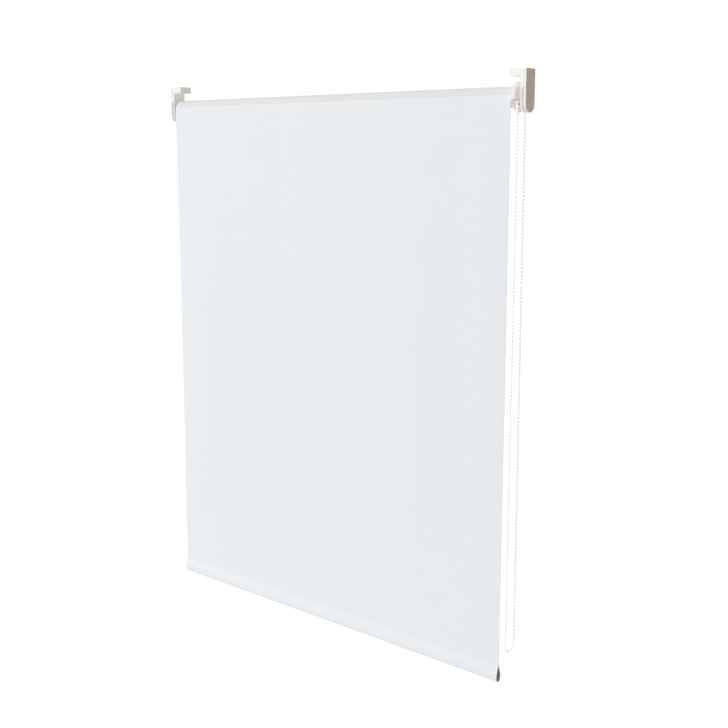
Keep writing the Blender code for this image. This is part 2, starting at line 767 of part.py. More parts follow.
tube_bore = TUBE_RADIUS - TUBE_WALL
key_half = math.degrees((TUBE_KEY_WIDTH / 2 - GAP) / tube_bore)
roller_tube = extruded(
    "roller_tube",
    [
        around_axis(circle(TUBE_RADIUS)),
        around_axis(
            arc(tube_bore, 90 + key_half, 450 - key_half, SEGMENTS)
            + arc(tube_bore - TUBE_KEY_HEIGHT, 90 - key_half, 90 + key_half, 2)
        ),
    ],
    x_at(IDLE_SIDE, TUBE_INSET_IDLE),
    x_at(CHAIN_SIDE, TUBE_INSET_CHAIN),
    ALUMINIUM,
)

tape_middle = 90.0
tape_half = math.degrees(TAPE_HALF_ANGLE)
recess_half = tape_half + math.degrees(GAP / WOUND_INNER)
fabric_tape = extruded(
    "fabric_tape",
    [
        around_axis(
            arc(WOUND_INNER + TAPE_THICKNESS, tape_middle - tape_half, tape_middle + tape_half, 6)
            + arc(WOUND_INNER, tape_middle + tape_half, tape_middle - tape_half, 6)
        )
    ],
    x_at(IDLE_SIDE, FABRIC_INSET_IDLE),
    x_at(CHAIN_SIDE, FABRIC_INSET_CHAIN),
    ADHESIVE,
)
wound_fabric = extruded(
    "wound_fabric",
    [
        around_axis(circle(ROLL_RADIUS)),
        around_axis(
            arc(WOUND_INNER, tape_middle + recess_half, tape_middle + 360 - recess_half, SEGMENTS)
            + arc(
                WOUND_INNER + TAPE_THICKNESS + GAP,
                tape_middle - recess_half,
                tape_middle + recess_half,
                6,
            )
        ),
    ],
    x_at(IDLE_SIDE, FABRIC_INSET_IDLE),
    x_at(CHAIN_SIDE, FABRIC_INSET_CHAIN),
    FABRIC,
)

# ---- Idle end: fixed core, sliding pin, its spring ----------------------------------------------
turned(
    "idle_core",
    at_idle_end(
        [
            (IDLE_CORE_RADIUS, IDLE_CORE_INSET),
            (IDLE_CORE_RADIUS, IDLE_NECK_START),
            (IDLE_NECK_RADIUS, IDLE_NECK_START),
            (IDLE_NECK_RADIUS, IDLE_CORE_END),
            (IDLE_CORE_BORE, IDLE_CORE_END),
            (IDLE_CORE_BORE, IDLE_CORE_INSET + IDLE_CORE_WALL),
            (PIN_RADIUS + GAP, IDLE_CORE_INSET + IDLE_CORE_WALL),
            (PIN_RADIUS + GAP, IDLE_CORE_INSET),
        ]
    ),
    NYLON,
)
collar_start = IDLE_CORE_INSET + IDLE_CORE_WALL + GAP
idle_pin = turned(
    "idle_pin",
    at_idle_end(
        [
            (0.0, PIN_TIP_INSET),
            (PIN_RADIUS - 2 * GAP, PIN_TIP_INSET),
            (PIN_RADIUS, PIN_TIP_INSET + 2 * GAP),
            (PIN_RADIUS, collar_start),
            (IDLE_CORE_BORE - GAP, collar_start),
            (IDLE_CORE_BORE - GAP, collar_start + PIN_COLLAR_WIDTH),
            (PIN_RADIUS, collar_start + PIN_COLLAR_WIDTH),
            (PIN_RADIUS, PIN_END_INSET),
            (0.0, PIN_END_INSET),
        ]
    ),
    SPRING_STEEL,
)
idle_cap = turned(
    "idle_core_cap",
    at_idle_end(
        [
            (0.0, IDLE_CORE_END - IDLE_CAP_DEPTH),
            (IDLE_CORE_BORE - GAP, IDLE_CORE_END - IDLE_CAP_DEPTH),
            (IDLE_CORE_BORE - GAP, IDLE_CORE_END + GAP),
            (IDLE_CORE_RADIUS, IDLE_CORE_END + GAP),
            (IDLE_CORE_RADIUS, IDLE_CORE_END + GAP + IDLE_CAP_HEAD),
            (0.0, IDLE_CORE_END + GAP + IDLE_CAP_HEAD),
        ]
    ),
    NYLON,
)
clip_ring(
    "idle_clip",
    IDLE_NECK_RADIUS + GAP,
    IDLE_CORE_RADIUS + GAP + CLIP_RING_LIP,
    IDLE_SIDE,
    IDLE_NECK_START + GAP,
)
pin_spring_radius = (PIN_RADIUS + IDLE_CORE_BORE) / 2
coil(
    "pin_spring",
    pin_spring_radius,
    PIN_SPRING_WIRE_RADIUS,
    PIN_SPRING_TURNS,
    x_at(IDLE_SIDE, collar_start + PIN_COLLAR_WIDTH + GAP + PIN_SPRING_WIRE_RADIUS),
    x_at(IDLE_SIDE, IDLE_CORE_END - IDLE_CAP_DEPTH - GAP - PIN_SPRING_WIRE_RADIUS),
    SPRING_STEEL,
)


# ---- Hanging fabric, hem and bottom bar ---------------------------------------------------------
def teardrop(height, half_depth, steps=14):
    """Anticlockwise outline with its point up at the sheet's plane and a round lower end."""
    widest = 2 / (3 * math.sqrt(3))
    side = []
    for i in range(1, steps):
        drop = math.sin(math.pi / 2 * i / steps)
        side.append((half_depth * drop * math.sqrt(1 - drop) / widest, HEM_TOP - height * drop))
    left = [(SHEET_Y - width, z) for width, z in side]
    right = [(SHEET_Y + width, z) for width, z in reversed(side)]
    return [(SHEET_Y, HEM_TOP), *left, (SHEET_Y, HEM_TOP - height), *right]


fabric_left = x_at(IDLE_SIDE, FABRIC_INSET_IDLE)
fabric_right = x_at(CHAIN_SIDE, FABRIC_INSET_CHAIN)
block(
    "fabric_sheet",
    (fabric_left, SHEET_BACK, AXIS_Z),
    (fabric_right, SHEET_FRONT, HEM_TOP + GAP),
    FABRIC,
)
hem_outline = teardrop(HEM_HEIGHT, HEM_HALF_DEPTH)
hem_sleeve = extruded(
    "hem_sleeve",
    [hem_outline, inset_outline(hem_outline, SHEET_THICKNESS)],
    fabric_left,
    fabric_right,
    FABRIC,
)
bar_outline = inset_outline(hem_outline, BAR_INSET)
bar_hollow = inset_outline(bar_outline, BAR_WALL)
cap_room = BAR_CAP_THICKNESS + GAP
bottom_bar = extruded(
    "bottom_bar", [bar_outline, bar_hollow], fabric_left + cap_room, fabric_right - cap_room, ALUMINIUM
)


def bar_cap(name, end, inward):
    """End plug of the bottom bar: a plate as large as the bar's section and an insert that fits inside it."""
    plate_inner = end + inward * BAR_CAP_THICKNESS
    made = extruded(name, [bar_outline], end, plate_inner, GREY_PLASTIC)
    insert = extruded(
        f"{name}_insert",
        [inset_outline(bar_hollow, GAP)],
        plate_inner - inward * OVERLAP,
        plate_inner + inward * BAR_CAP_INSERT,
    )
    join(made, insert)
    return made


bar_cap_right = bar_cap("bar_cap_right", fabric_right, -1)
bar_cap_left = bar_cap("bar_cap_left", fabric_left, 1)


# ---- Bead chain ---------------------------------------------------------------------------------
def chain_route():
    """(y, z) points of the loop: over the wheel on its pitch circle, down in front, round and up again."""
    front = [(-half, AXIS_Z - drop) for drop, half in LOOP_STATIONS]
    back = [(-y, z) for y, z in reversed(front)]
    over = around_axis(arc(WHEEL_PITCH_RADIUS, 0, 180, 12))
    return over, [over[-1], *front, (0.0, AXIS_Z - LOOP_BOTTOM), *back, over[0]]


def smooth(points, spacing, fewest):
    """Catmull-Rom curve through the points, with a point about every spacing and at least fewest a span."""
    run = []
    for i in range(len(points) - 1):
        before = Vector(points[max(i - 1, 0)])
        start = Vector(points[i])
        end = Vector(points[i + 1])
        after = Vector(points[min(i + 2, len(points) - 1)])
        slope_start = (end - before) / 2
        slope_end = (after - start) / 2
        longest = (end - start).length
        slope_start = slope_start.normalized() * min(slope_start.length, longest)
        slope_end = slope_end.normalized() * min(slope_end.length, longest)
        steps = max(fewest, round(longest / spacing))
        for k in range(steps):
            t = k / steps
            run.append(
                (2 * t**3 - 3 * t**2 + 1) * start
                + (t**3 - 2 * t**2 + t) * slope_start
                + (3 * t**2 - 2 * t**3) * end
                + (t**3 - t**2) * slope_end
            )
    return run


over_wheel, hanging = chain_route()
chain_curve = bpy.data.curves.new("bead_chain", "CURVE")
chain_curve.dimensions = "3D"
chain_curve.bevel_depth = CHAIN_RADIUS
chain_curve.bevel_resolution = 2
chain_points = [Vector(p) for p in over_wheel[:-1]] + smooth(hanging, CHAIN_POINT_SPACING, CHAIN_POINTS_A_SPAN)
chain_spline = chain_curve.splines.new("POLY")
chain_spline.points.add(len(chain_points) - 1)
chain_spline.use_cyclic_u = True
for point, (y, z) in zip(chain_spline.points, chain_points):
    point.co = (x_at(CHAIN_SIDE, CHAIN_INSET), y, z, 1.0)
bead_chain = add("bead_chain", chain_curve, BEAD_PLASTIC)

# ---- Moving bodies ------------------------------------------------------------------------------
roller_pivot = pivot("roller_axis", (0.0, 0.0, AXIS_Z), "turns about X")
hang_from(roller_pivot, [roller_tube, drive_crown, idle_plug, fabric_tape, wound_fabric])
wheel_pivot = pivot("chain_wheel_axis", (x_at(CHAIN_SIDE, CHAIN_INSET), 0.0, AXIS_Z), "turns about X")
hang_from(wheel_pivot, [chain_wheel] + [bpy.data.objects[f"wrap_spring_{i}"] for i in (1, 2)])
bar_pivot = pivot("bottom_bar_guide", (0.0, SHEET_Y, HEM_TOP), "slides along Z")
hang_from(bar_pivot, [bottom_bar, hem_sleeve, bar_cap_left, bar_cap_right])
pin_pivot = pivot("idle_pin_guide", (x_at(IDLE_SIDE, PLATE_INNER), 0.0, AXIS_Z), "slides along X")
hang_from(pin_pivot, [idle_pin])

ROUND_PARTS = {
    "chain_guard", "guard_plate", "chain_wheel", "clutch_core", "idle_core", "idle_pin", "idle_core_cap",
    "roller_tube", "wound_fabric", "drive_crown", "idle_plug", "hem_sleeve", "bottom_bar",
}
for part in blind.objects:
    if part.name in ROUND_PARTS:
        part.data.shade_smooth()
        part.data.set_sharp_from_angle(angle=math.radians(35))
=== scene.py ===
"""A white roller blind with its bead chain, fully lowered, in a plain pale studio.

Metres, +Z up. X runs along the roller with the chain at +X, -Y faces the room and +Y the window. The
origin is on the mounting plane, midway between the outer faces of the two brackets.
"""

import json
import math

import bmesh
import bpy
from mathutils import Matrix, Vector


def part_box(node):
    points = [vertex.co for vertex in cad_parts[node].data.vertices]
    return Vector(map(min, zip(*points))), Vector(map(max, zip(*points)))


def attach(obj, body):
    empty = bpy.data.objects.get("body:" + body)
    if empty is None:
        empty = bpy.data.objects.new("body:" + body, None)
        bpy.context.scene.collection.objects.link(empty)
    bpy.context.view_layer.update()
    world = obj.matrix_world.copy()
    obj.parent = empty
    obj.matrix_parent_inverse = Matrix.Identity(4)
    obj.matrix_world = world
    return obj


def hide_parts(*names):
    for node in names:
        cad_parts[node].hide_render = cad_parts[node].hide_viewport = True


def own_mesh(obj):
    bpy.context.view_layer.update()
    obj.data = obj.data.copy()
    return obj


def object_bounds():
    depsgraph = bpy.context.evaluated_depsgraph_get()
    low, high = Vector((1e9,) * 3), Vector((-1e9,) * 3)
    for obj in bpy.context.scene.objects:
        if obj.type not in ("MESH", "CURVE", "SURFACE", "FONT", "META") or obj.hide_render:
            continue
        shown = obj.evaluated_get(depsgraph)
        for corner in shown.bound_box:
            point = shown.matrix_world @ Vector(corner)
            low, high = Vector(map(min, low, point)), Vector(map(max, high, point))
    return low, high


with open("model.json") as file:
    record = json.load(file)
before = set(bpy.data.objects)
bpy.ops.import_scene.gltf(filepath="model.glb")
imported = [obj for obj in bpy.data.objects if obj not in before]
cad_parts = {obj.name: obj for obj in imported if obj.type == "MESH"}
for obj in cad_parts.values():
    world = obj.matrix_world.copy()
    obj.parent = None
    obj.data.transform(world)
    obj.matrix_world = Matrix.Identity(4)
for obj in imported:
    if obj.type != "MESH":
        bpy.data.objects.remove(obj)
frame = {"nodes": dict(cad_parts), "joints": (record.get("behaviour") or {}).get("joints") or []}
cad_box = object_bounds()

# ---- Places and sizes taken from the frame ------------------------------------------------------
roll_low, roll_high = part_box("wound_fabric")
sheet_low, sheet_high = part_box("fabric_sheet")
hem_low, hem_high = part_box("hem_sleeve")
tube_low, tube_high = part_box("roller_tube")
chain_low, chain_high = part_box("bead_chain")

AXIS_Z = (tube_low.z + tube_high.z) / 2
TUBE_RADIUS = (tube_high.z - tube_low.z) / 2
CLOTH_LEFT = roll_low.x
CLOTH_RIGHT = roll_high.x
CLOTH = sheet_high.y - sheet_low.y      # thickness of the fabric
SHEET_Y = (sheet_low.y + sheet_high.y) / 2
HEM_TOP = hem_high.z
HEM_HEIGHT = HEM_TOP - hem_low.z
HEM_HALF_DEPTH = (hem_high.y - hem_low.y) / 2
CHAIN_X = (chain_low.x + chain_high.x) / 2

# ---- Camera -------------------------------------------------------------------------------------
CAMERA_PLACE = (1.247, -1.450, -0.127)
CAMERA_DOWN = math.radians(9.05)
CAMERA_TURN = math.radians(38.86)
CAMERA_LENS = 52.23
CAMERA_SHIFT = -0.06

lens = bpy.data.cameras.new("studio_camera")
lens.sensor_width = 36.0
lens.lens = CAMERA_LENS
lens.shift_y = CAMERA_SHIFT
lens.clip_end = 100.0
camera = bpy.data.objects.new("studio_camera", lens)
camera.location = CAMERA_PLACE
camera.rotation_euler = (math.pi / 2 - CAMERA_DOWN, 0.0, CAMERA_TURN)
bpy.context.scene.collection.objects.link(camera)
bpy.context.scene.camera = camera


# ---- Shader building ----------------------------------------------------------------------------
class Value:
    """A number that varies over a surface. Arithmetic on it adds the Math nodes that work it out."""

    def __init__(self, board, socket):
        self.board = board
        self.socket = socket

    def __add__(self, other):
        return self.board.math("ADD", self, other)

    __radd__ = __add__

    def __mul__(self, other):
        return self.board.math("MULTIPLY", self, other)

    __rmul__ = __mul__

    def __sub__(self, other):
        return self.board.math("SUBTRACT", self, other)

    def __rsub__(self, other):
        return self.board.math("SUBTRACT", other, self)

    def __truediv__(self, other):
        return self.board.math("DIVIDE", self, other)

    def __abs__(self):
        return self.board.math("ABSOLUTE", self)

    def sine(self):
        return self.board.math("SINE", self)

    def angle_to(self, other):
        return self.board.math("ARCTAN2", self, other)

    def smooth_step(self, low, high):
        """0 below low, 1 above high and an even rise in between."""
        settings = {"interpolation_type": "SMOOTHSTEP"}
        sockets = {"Value": self, "From Min": low, "From Max": high}
        return self.board.value("ShaderNodeMapRange", settings, sockets)


class Board:
    """A node tree, and the few ways in which nodes are added to it."""

    def __init__(self, tree):
        self.tree = tree

    def fill(self, node, sockets):
        for name, given in sockets.items():
            socket = node.inputs[name]
            if isinstance(given, Value):
                self.tree.links.new(given.socket, socket)
            elif isinstance(given, bpy.types.NodeSocket):
                self.tree.links.new(given, socket)
            elif isinstance(given, tuple) and len(socket.default_value) == 4:
                socket.default_value = (*given, 1.0)
            else:
                socket.default_value = given

    def node(self, kind, settings=None, sockets=None):
        """Adds a node: its settings first, then the values or links of its sockets."""
        made = self.tree.nodes.new(kind)
        for name, given in (settings or {}).items():
            setattr(made, name, given)
        self.fill(made, sockets or {})
        return made

    def value(self, kind, settings, sockets, output=0):
        return Value(self, self.node(kind, settings, sockets).outputs[output])

    def math(self, operation, *operands):
        return self.value("ShaderNodeMath", {"operation": operation}, dict(enumerate(operands)))

    def mixed(self, share, colour_a, colour_b):
        """A colour between two others."""
        settings = {"data_type": "RGBA"}
        return self.node("ShaderNodeMix", settings, {0: share, 6: colour_a, 7: colour_b}).outputs[2]

    def direction(self, output="Object"):
        return self.node("ShaderNodeTexCoord").outputs[output]

    def split(self, vector):
        parts = self.node("ShaderNodeSeparateXYZ", sockets={0: vector}).outputs
        return [Value(self, part) for part in parts]

    def joined(self, x, y, z):
        return self.node("ShaderNodeCombineXYZ", sockets={0: x, 1: y, 2: z}).outputs[0]

    def noise(self, place, scale, detail=2.0, roughness=0.5):
        sockets = {"Vector": place, "Scale": scale, "Detail": detail, "Roughness": roughness}
        return self.value("ShaderNodeTexNoise", {}, sockets)

    def bump(self, height, depth, strength=1.0):
        sockets = {"Height": height, "Distance": depth, "Strength": strength}
        return self.node("ShaderNodeBump", sockets=sockets).outputs[0]


class Finish(Board):
    """A material and the board of nodes that feeds its shader. fixed holds what is the same all over."""

    def __init__(self, name, fixed):
        self.material = bpy.data.materials.new(name)
        self.material.use_nodes = True
        super().__init__(self.material.node_tree)
        self.shader = self.tree.nodes["Principled BSDF"]
        self.fill(self.shader, fixed)
        self.place = self.direction()

    def feed(self, sockets):
        self.fill(self.shader, sockets)
        return self.material


# ---- Finishes -----------------------------------------------------------------------------------
THREAD_PITCH = 0.00045
WEAVE_DEPTH = 0.00006
HEM_FLAP = 0.0060                       # raw edge welded to the back of the sheet above the hem
WELD_WIDTH = 0.0030
WELD_AT = HEM_TOP + HEM_FLAP / 2


def woven(name, dark, light, down_the_cloth):
    """Fine plain weave with a matt coating, pressed flat in a line where the hem's flap is welded on. That
    line is also painted lighter as a painted highlight, and the gaps between the threads are painted darker
    as painted shade.

    down_the_cloth gives the distance along the warp from x, y, z.
    """
    made = Finish(name, {"Sheen Weight": 0.08, "Sheen Roughness": 0.5, "Specular IOR Level": 0.25})
    x, y, z = made.split(made.place)
    along = down_the_cloth(x, y, z)
    across_warp = (x * (math.pi / THREAD_PITCH)).sine()
    across_weft = (along * (math.pi / THREAD_PITCH)).sine()
    warp_on_top = (across_warp * across_weft).smooth_step(-0.25, 0.25)
    thread_relief_and_painted_shade = abs(across_warp) * warp_on_top + abs(across_weft) * (1 - warp_on_top)
    weft_slubs = made.noise(made.joined(x * 5, y * 0, along * 900), 1.0, 3.0)
    warp_slubs = made.noise(made.joined(x * 900, y * 0, along * 5), 1.0, 3.0)
    coating = made.noise(made.place, 9.0, 3.0, 0.6)
    slubs = (weft_slubs + warp_slubs) / 2
    # the weld line is pressed flat in the bump, and lightened in the colour as a painted highlight
    weld_and_painted_highlight = 1 - abs(z - WELD_AT).smooth_step(WELD_WIDTH * 0.35, WELD_WIDTH * 0.65)
    # painted shade: the gaps between threads are darkened in the colour; slubs and coating are the cloth's
    # own tone
    lightness = slubs * 0.5 + coating * 0.25 + thread_relief_and_painted_shade * 0.25 + weld_and_painted_highlight * 0.45
    height = (thread_relief_and_painted_shade + slubs * 0.6) * (1 - weld_and_painted_highlight * 0.8) - weld_and_painted_highlight * 1.5
    return made.feed(
        {
            "Base Color": made.mixed(lightness, dark, light),
            "Roughness": 0.78 + coating * 0.14,
            "Normal": made.bump(height, WEAVE_DEPTH, 0.5),
        }
    )


def moulded(name, dark, light, roughness, grain_depth=0.00002, fixed=None):
    """Injection moulded plastic: faint flow clouds in its colour and a fine grain from the mould."""
    made = Finish(name, fixed or {})
    clouds = made.noise(made.place, 45.0, 3.0, 0.55)
    grain = made.noise(made.place, 2600.0, 2.0)
    handling = made.noise(made.place, 210.0, 4.0, 0.65)
    return made.feed(
        {
            "Base Color": made.mixed(clouds * 0.7 + grain * 0.3, dark, light),
            "Roughness": roughness - 0.06 + handling * 0.12,
            "Normal": made.bump(grain + handling * 0.5, grain_depth, 0.6),
        }
    )


def drawn_metal(name, dark, light, roughness, fine, fixed=None):
    """Metal with fine lines along X, left by the die that it was drawn or extruded through."""
    made = Finish(name, {"Metallic": 1.0, **(fixed or {})})
    x, y, z = made.split(made.place)
    lines = made.noise(made.joined(x * 12, y * fine, z * fine), 1.0, 3.0, 0.6)
    marks = made.noise(made.place, 160.0, 4.0, 0.6)
    return made.feed(
        {
            "Base Color": made.mixed(lines * 0.6 + marks * 0.4, dark, light),
            "Roughness": roughness - 0.08 + lines * 0.1 + marks * 0.08,
            "Normal": made.bump(lines, 0.00001, 0.4),
        }
    )


hung_cloth = woven("woven_cloth", (0.757, 0.803, 0.845), (0.800, 0.844, 0.884), lambda x, y, z: z)
# the same cloth as the hanging fabric, made darker and greyer: painted shade on the roll
rolled_cloth_painted_shade = woven(
    "rolled_cloth_painted_shade",
    (0.698, 0.705, 0.712),
    (0.740, 0.746, 0.752),
    lambda x, y, z: (z - AXIS_Z).angle_to(y) * TUBE_RADIUS,
)
white_moulding = moulded("white_moulding", (0.81, 0.80, 0.77), (0.90, 0.895, 0.87), 0.36)
grey_moulding = moulded("grey_moulding", (0.190, 0.205, 0.225), (0.28, 0.30, 0.33), 0.5, 0.00004)
# painted glow: emission that stands in for the light that comes through a bead, and through a thin white wall
BEAD_PAINTED_GLOW = {"Emission Color": (0.87, 0.95, 1.0), "Emission Strength": 0.30}
WALL_PAINTED_GLOW = {"Emission Color": (1.0, 0.98, 0.95), "Emission Strength": 0.32}
# the white plastic made darker, with an even painted glow in place of the light and shade on the side plates
# and hood
thin_moulding_painted_glow = moulded("thin_moulding_painted_glow", (0.49, 0.49, 0.475), (0.55, 0.55, 0.535), 0.36, fixed=WALL_PAINTED_GLOW)
# beads and thread glow evenly: a painted glow that brightens their shaded side
bead_moulding_painted_glow = moulded("bead_moulding_painted_glow", (0.84, 0.87, 0.90), (0.90, 0.93, 0.96), 0.28, 0.00001, BEAD_PAINTED_GLOW)
chain_thread_painted_glow = moulded("chain_thread_painted_glow", (0.78, 0.81, 0.84), (0.86, 0.89, 0.92), 0.75, 0.00008, BEAD_PAINTED_GLOW)
nylon = moulded(
    "natural_nylon", (0.70, 0.68, 0.61), (0.80, 0.78, 0.72), 0.42, fixed={"Subsurface Weight": 0.08}
)
aluminium = drawn_metal("extruded_aluminium", (0.62, 0.63, 0.64), (0.80, 0.81, 0.82), 0.36, 1600.0)
spring_steel = drawn_metal("spring_steel", (0.38, 0.39, 0.41), (0.60, 0.61, 0.63), 0.30, 2400.0)
adhesive = moulded("double_sided_tape", (0.66, 0.63, 0.54), (0.80, 0.77, 0.69), 0.6, 0.00003)

NODE_FINISHES = {
    "clutch_core": nylon,
    "core_clip": spring_steel,
    "wrap_spring_1": spring_steel,
    "wrap_spring_2": spring_steel,
    "chain_wheel": nylon,
    "drive_crown": grey_moulding,
    "roller_tube": aluminium,
    "idle_plug": grey_moulding,
    "idle_core": nylon,
    "idle_core_cap": nylon,
    "idle_clip": spring_steel,
    "idle_pin": spring_steel,
    "pin_spring": spring_steel,
    "bottom_bar": aluminium,
}
for node, finish in NODE_FINISHES.items():
    for slot in frame["nodes"][node].material_slots:
        slot.material = finish


# ---- Piece building -----------------------------------------------------------------------------
def piece(name, shape, finishes, body, stands_for=(), crease=35.0):
    """Makes a bmesh into a smooth-shaded piece that rides on a body."""
    mesh = bpy.data.meshes.new(name)
    bmesh.ops.recalc_face_normals(shape, faces=shape.faces)
    shape.to_mesh(mesh)
    shape.free()
    for finish in finishes:
        mesh.materials.append(finish)
    mesh.shade_smooth()
    mesh.set_sharp_from_angle(angle=math.radians(crease))
    made = bpy.data.objects.new(name, mesh)
    bpy.context.scene.collection.objects.link(made)
    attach(made, body)
    if stands_for:
        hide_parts(*stands_for)
    return made


def slab(rows, normals, thickness):
    """A closed sheet from rows of middle points and the way that each of them faces."""
    shape = bmesh.new()
    faces = {}
    for side in (-1, 1):
        for i, (row, ways) in enumerate(zip(rows, normals)):
            for j, (point, way) in enumerate(zip(row, ways)):
                faces[side, i, j] = shape.verts.new(point + way * (side * thickness / 2))
    last_row = len(rows) - 1
    last = len(rows[0]) - 1
    for i in range(last_row):
        for j in range(last):
            corners = [(i, j), (i, j + 1), (i + 1, j + 1), (i + 1, j)]
            shape.faces.new([faces[1, a, b] for a, b in corners])
            shape.faces.new([faces[-1, a, b] for a, b in corners[::-1]])
    rim = [(0, j) for j in range(last)] + [(i, last) for i in range(last_row)]
    rim += [(last_row, j) for j in range(last, 0, -1)] + [(i, 0) for i in range(last_row, 0, -1)]
    for here, there in zip(rim, rim[1:] + rim[:1]):
        shape.faces.new([faces[1, *here], faces[-1, *here], faces[-1, *there], faces[1, *there]])
    return shape


def across(line):
    """Ways at right angles to a line of (y, z) points, turned a quarter from the way that it runs."""
    ways = []
    for i in range(len(line)):
        before = Vector(line[max(i - 1, 0)])
        after = Vector(line[min(i + 1, len(line) - 1)])
        run = (after - before).normalized()
        ways.append((run.y, -run.x))
    return ways


def even(start, end, count):
    return [start + (end - start) * i / count for i in range(count + 1)]


def eased(name, node, finish, body, radius, edge_limit=28.0, broad=None, broad_radius=0.0):
    """A moulding with the edges of its CAD node rounded; edges that broad picks get broad_radius."""
    shape = bmesh.new()
    shape.from_mesh(frame["nodes"][node].data)
    bmesh.ops.remove_doubles(shape, verts=shape.verts, dist=2e-6)
    flat = math.radians(1.0)
    bmesh.ops.dissolve_limit(shape, angle_limit=flat, verts=shape.verts, edges=shape.edges)
    rounds = [(broad_radius, 4, broad)] if broad else []
    for size, segments, wanted in [*rounds, (radius, 2, None)]:
        sharp = [
            edge
            for edge in shape.edges
            if len(edge.link_faces) == 2
            and edge.calc_face_angle(0.0) > math.radians(edge_limit)
            and (wanted is None or wanted(edge))
        ]
        bmesh.ops.bevel(
            shape, geom=sharp, offset=size, segments=segments, affect="EDGES", profile=0.5, clamp_overlap=True
        )
    made = piece(name, shape, [finish], body, [node], crease=50.0)
    weighted = made.modifiers.new("even_shading", "WEIGHTED_NORMAL")
    weighted.keep_sharp = True
    return made


# ---- Bead chain ---------------------------------------------------------------------------------
CHAIN_PITCH = 0.0060
BEAD_RADIUS = 0.00225
THREAD_RADIUS = 0.00055
POCKETS = 12
WHEEL_PITCH_RADIUS = CHAIN_PITCH / (2 * math.sin(math.pi / POCKETS))
# how far down from the roller's axis, and half the width of the loop there
LOOP_STATIONS = [
    (0.060, 0.01165),
    (0.180, 0.01190),
    (0.320, 0.01230),
    (0.460, 0.01275),
    (0.600, 0.01320),
    (0.730, 0.01360),
    (0.840, 0.01385),
    (0.885, 0.01380),
    (0.9010, 0.01345),
    (0.9088, 0.01010),
    (0.9122, 0.00520),
]
LOOP_BOTTOM = 0.9130
ROUTE_STEP = 0.006


def chain_line():
    """The loop from the wheel's top, down in front, round the bottom and up behind, as (y, z) points."""
    def on_wheel(angle):
        turn = math.radians(angle)
        return Vector((WHEEL_PITCH_RADIUS * math.cos(turn), AXIS_Z + WHEEL_PITCH_RADIUS * math.sin(turn)))

    front = [Vector((-half, AXIS_Z - drop)) for drop, half in LOOP_STATIONS]
    behind = [Vector((-point.x, point.y)) for point in reversed(front)]
    knots = [on_wheel(180), *front, Vector((0.0, AXIS_Z - LOOP_BOTTOM)), *behind, on_wheel(0)]
    line = [on_wheel(angle) for angle in range(90, 180, 5)]
    for i in range(len(knots) - 1):
        before = knots[max(i - 1, 0)]
        start, end = knots[i], knots[i + 1]
        after = knots[min(i + 2, len(knots) - 1)]
        longest = (end - start).length
        leave = (end - before).normalized() * min((end - before).length / 2, longest)
        arrive = (after - start).normalized() * min((after - start).length / 2, longest)
        steps = math.ceil(longest / ROUTE_STEP)
        for k in range(steps):
            t = k / steps
            line.append(
                (2 * t**3 - 3 * t**2 + 1) * start
                + (t**3 - 2 * t**2 + t) * leave
                + (3 * t**2 - 2 * t**3) * end
                + (t**3 - t**2) * arrive
            )
    return line + [on_wheel(angle) for angle in range(0, 91, 5)]


def spaced(line, count):
    """count + 1 points at equal distances along a line."""
    lengths = [0.0]
    for here, there in zip(line, line[1:]):
        lengths.append(lengths[-1] + (there - here).length)
    places = []
    i = 0
    for k in range(count + 1):
        wanted = lengths[-1] * k / count
        while i < len(line) - 2 and lengths[i + 1] < wanted:
            i += 1
        share = (wanted - lengths[i]) / (lengths[i + 1] - lengths[i])
        places.append(line[i].lerp(line[i + 1], share))
    return places, lengths[-1]


loop = chain_line()
loop_length = sum((b - a).length for a, b in zip(loop, loop[1:]))
bead_count = round(loop_length / CHAIN_PITCH)
half_steps, loop_length = spaced(loop, 2 * bead_count)
line_points = [Vector((CHAIN_X, p.x, p.y)) for p in half_steps]


def add_bead(shape, place, turn, rings=10, sides=14):
    """A moulded bead, a ball whose poles lie on the thread."""
    def point(down, round_it):
        radius = BEAD_RADIUS * math.sin(down)
        height = BEAD_RADIUS * math.cos(down)
        upright = Vector((radius * math.cos(round_it), radius * math.sin(round_it), height))
        return shape.verts.new(place + turn @ upright)

    poles = [point(0.0, 0.0), point(math.pi, 0.0)]
    bands = [
        [point(math.pi * i / rings, 2 * math.pi * k / sides) for k in range(sides)] for i in range(1, rings)
    ]
    for k in range(sides):
        n = (k + 1) % sides
        shape.faces.new([poles[0], bands[0][k], bands[0][n]])
        shape.faces.new([poles[1], bands[-1][n], bands[-1][k]])
        for band, following in zip(bands, bands[1:]):
            shape.faces.new([band[k], following[k], following[n], band[n]])


def chain_shape():
    """The thread as one closed tube, and a bead on it at every pitch, each facing along the thread."""
    shape = bmesh.new()
    sides = 8
    rings = []
    closed = line_points[:-1]
    for i, here in enumerate(closed):
        run = (closed[(i + 1) % len(closed)] - closed[i - 1]).normalized()
        outward = run.cross(Vector((1.0, 0.0, 0.0)))
        angles = even(0.0, 2 * math.pi, sides)[:-1]
        rings.append(
            [
                shape.verts.new(
                    here + (Vector((math.cos(a), 0.0, 0.0)) + outward * math.sin(a)) * THREAD_RADIUS
                )
                for a in angles
            ]
        )
    for ring, following in zip(rings, rings[1:] + rings[:1]):
        for k in range(sides):
            n = (k + 1) % sides
            shape.faces.new([ring[k], ring[n], following[n], following[k]]).material_index = 1
    for i in range(1, len(closed), 2):
        run = (closed[(i + 1) % len(closed)] - closed[i - 1]).normalized()
        add_bead(shape, closed[i], run.to_track_quat("Z", "Y"))
    return shape


bead_loop = piece(
    "bead_loop",
    chain_shape(),
    [bead_moulding_painted_glow, chain_thread_painted_glow],
    "headrail",
    ["bead_chain"],
    60.0,
)

